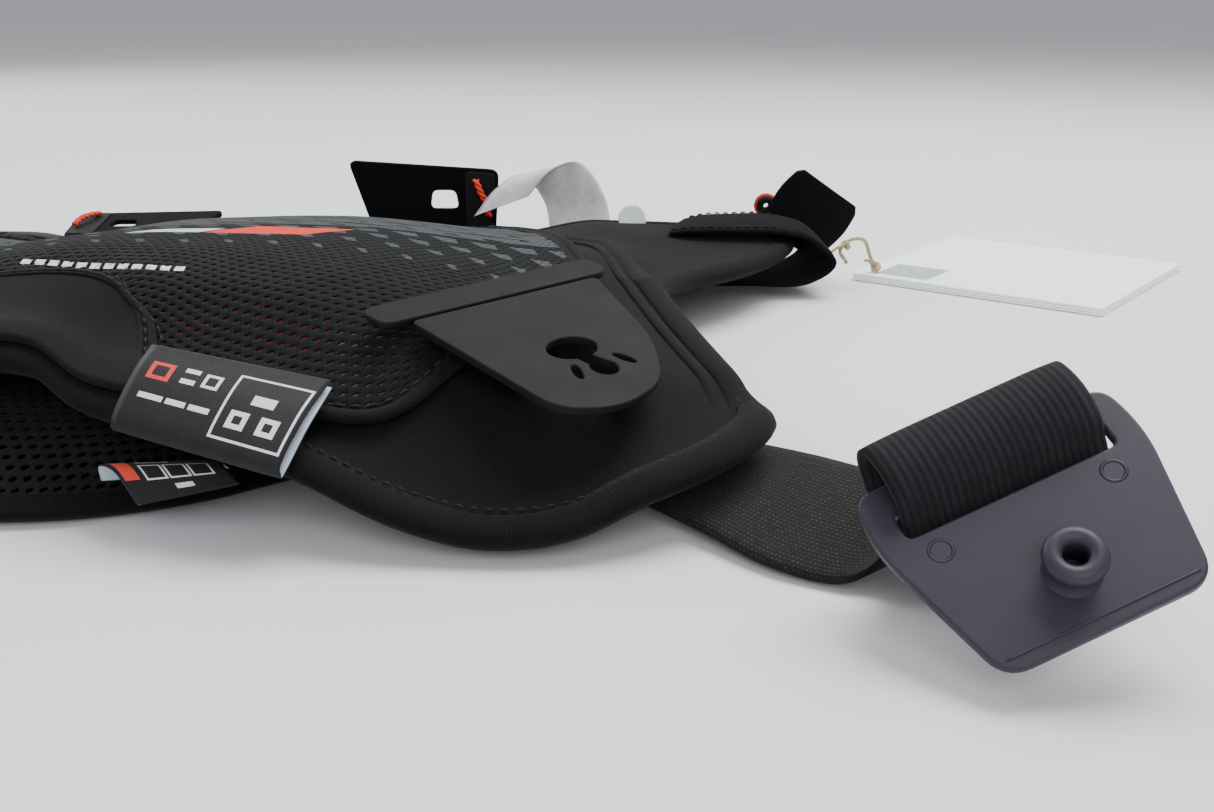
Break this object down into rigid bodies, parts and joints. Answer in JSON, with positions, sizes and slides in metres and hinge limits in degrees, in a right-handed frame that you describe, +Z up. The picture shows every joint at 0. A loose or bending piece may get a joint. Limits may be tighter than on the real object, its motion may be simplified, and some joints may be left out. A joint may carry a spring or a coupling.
{
  "type": "chest protector",
  "caption": "Soft motorcycle chest and back protector folded shut, with elastic side straps, stud plates and keyhole flaps.",
  "frame": {"origin": "middle of the underside of the folded protector, on the table", "axes": "+X to the wearer's left, +Y towards the neck, +Z up from the table"},
  "size_m": [0.6234, 0.4141, 0.0513],
  "materials": {
    "neoprene": "matt knitted face",
    "spacer_mesh": "open 3-D knit",
    "perforated_mesh": "knit with slit holes and shard prints",
    "red_foam": "matt closed-cell foam",
    "grey_foam": "matt closed-cell foam",
    "stretch_fabric": "smooth stretch knit",
    "binding": "ribbed grosgrain tape",
    "bias_tape": "smooth bias-cut tape",
    "neck_rib": "ribbed band",
    "soft_tpu": "satin moulded elastomer",
    "hard_plastic": "satin moulded plastic",
    "elastic": "ribbed elastic with a loop-pile face",
    "velour": "brushed loop pile",
    "black_label": "woven damask",
    "white_satin": "satin ribbon",
    "orange_cord": "twisted cord",
    "pale_rubber": "ribbed elastomer",
    "card": "matt board",
    "jute": "twisted hairy twine"
  },
  "bodies": {
    "back_panel": {"back_cover": "neoprene", "back_foam_core": "grey_foam", "back_mesh_liner": "spacer_mesh", "back_binding": "binding", "side_strap_base_left": "elastic", "side_strap_base_right": "elastic", "size_label": "black_label", "care_label": "white_satin", "tag_twine": "jute"},
    "front_panel": {"front_carrier": "neoprene", "front_liner": "spacer_mesh", "front_binding": "binding", "wing_binding_left": "bias_tape", "wing_binding_right": "bias_tape", "neck_band": "neck_rib", "chest_impact_pad": "red_foam", "front_mesh_cover": "perforated_mesh", "mesh_piping_left": "binding", "mesh_piping_right": "binding", "centre_insert": "stretch_fabric", "flap_base_left": "soft_tpu", "flap_base_right": "soft_tpu", "woven_label": "black_label", "shoulder_strap_left": "velour", "shoulder_strap_right": "velour", "neck_pull_left": "pale_rubber", "neck_pull_right": "pale_rubber"},
    "keyhole_flap_left": {"keyhole_flap_left": "soft_tpu"},
    "side_strap_left": {"side_strap_left": "elastic"},
    "hook_plate_left": {"hook_plate_left": "hard_plastic"},
    "shoulder_tab_left": {"shoulder_tab_left": "velour", "tab_eyelet_left": "soft_tpu"},
    "collar_tab_left": {"collar_tab_left": "velour", "collar_cord_left": "orange_cord"},
    "keyhole_flap_right": {"keyhole_flap_right": "soft_tpu"},
    "side_strap_right": {"side_strap_right": "elastic"},
    "hook_plate_right": {"hook_plate_right": "hard_plastic"},
    "shoulder_tab_right": {"shoulder_tab_right": "velour", "tab_eyelet_right": "soft_tpu"},
    "collar_tab_right": {"collar_tab_right": "velour", "collar_cord_right": "orange_cord"},
    "hang_tag": {"hang_tag": "card"}
  },
  "joints": [
    {"name": "front_panel_lift", "type": "hinge", "parent": "back_panel", "child": "front_panel", "pos_m": [0, 0.128, 0.01], "axis": [-1, 0, 0], "range_deg": [0, 75]},
    {"name": "keyhole_flap_left_hinge", "type": "hinge", "parent": "front_panel", "child": "keyhole_flap_left", "pos_m": [0.1185, -0.092, 0.042], "axis": [-0.7397, -0.672, -0.0361], "range_deg": [0, 80]},
    {"name": "side_strap_left_fold", "type": "hinge", "parent": "back_panel", "child": "side_strap_left", "pos_m": [0.176, -0.129, 0.007], "axis": [-0.7115, -0.6805, -0.1753], "range_deg": [0, 60]},
    {"name": "hook_plate_left_swing", "type": "hinge", "parent": "side_strap_left", "child": "hook_plate_left", "pos_m": [0.2131, -0.1783, 0.0287], "axis": [0.9115, 0.195, 0.362], "range_deg": [-12, 12]},
    {"name": "shoulder_tab_left_fold", "type": "hinge", "parent": "front_panel", "child": "shoulder_tab_left", "pos_m": [0.2188, 0.122, 0.0196], "axis": [1, 0, 0], "range_deg": [-60, 5]},
    {"name": "collar_tab_left_fold", "type": "hinge", "parent": "back_panel", "child": "collar_tab_left", "pos_m": [0.066, 0.158, 0.0092], "axis": [1, 0, 0], "range_deg": [-75, 15]},
    {"name": "keyhole_flap_right_hinge", "type": "hinge", "parent": "front_panel", "child": "keyhole_flap_right", "pos_m": [-0.1185, -0.092, 0.042], "axis": [-0.7397, 0.672, 0.0361], "range_deg": [0, 80]},
    {"name": "side_strap_right_fold", "type": "hinge", "parent": "back_panel", "child": "side_strap_right", "pos_m": [-0.176, -0.129, 0.007], "axis": [-0.7115, 0.6805, 0.1753], "range_deg": [0, 60]},
    {"name": "hook_plate_right_swing", "type": "hinge", "parent": "side_strap_right", "child": "hook_plate_right", "pos_m": [-0.2131, -0.1783, 0.0287], "axis": [0.9115, -0.195, -0.362], "range_deg": [-12, 12]},
    {"name": "shoulder_tab_right_fold", "type": "hinge", "parent": "front_panel", "child": "shoulder_tab_right", "pos_m": [-0.2188, 0.122, 0.0196], "axis": [1, 0, 0], "range_deg": [-60, 5]},
    {"name": "collar_tab_right_fold", "type": "hinge", "parent": "back_panel", "child": "collar_tab_right", "pos_m": [-0.066, 0.158, 0.0092], "axis": [1, 0, 0], "range_deg": [0, 90]},
    {"name": "hang_tag_swing", "type": "hinge", "parent": "back_panel", "child": "hang_tag", "pos_m": [0.2509, 0.118, 0.0017], "axis": [0, 0, 1], "range_deg": [-40, 30]}
  ]
}
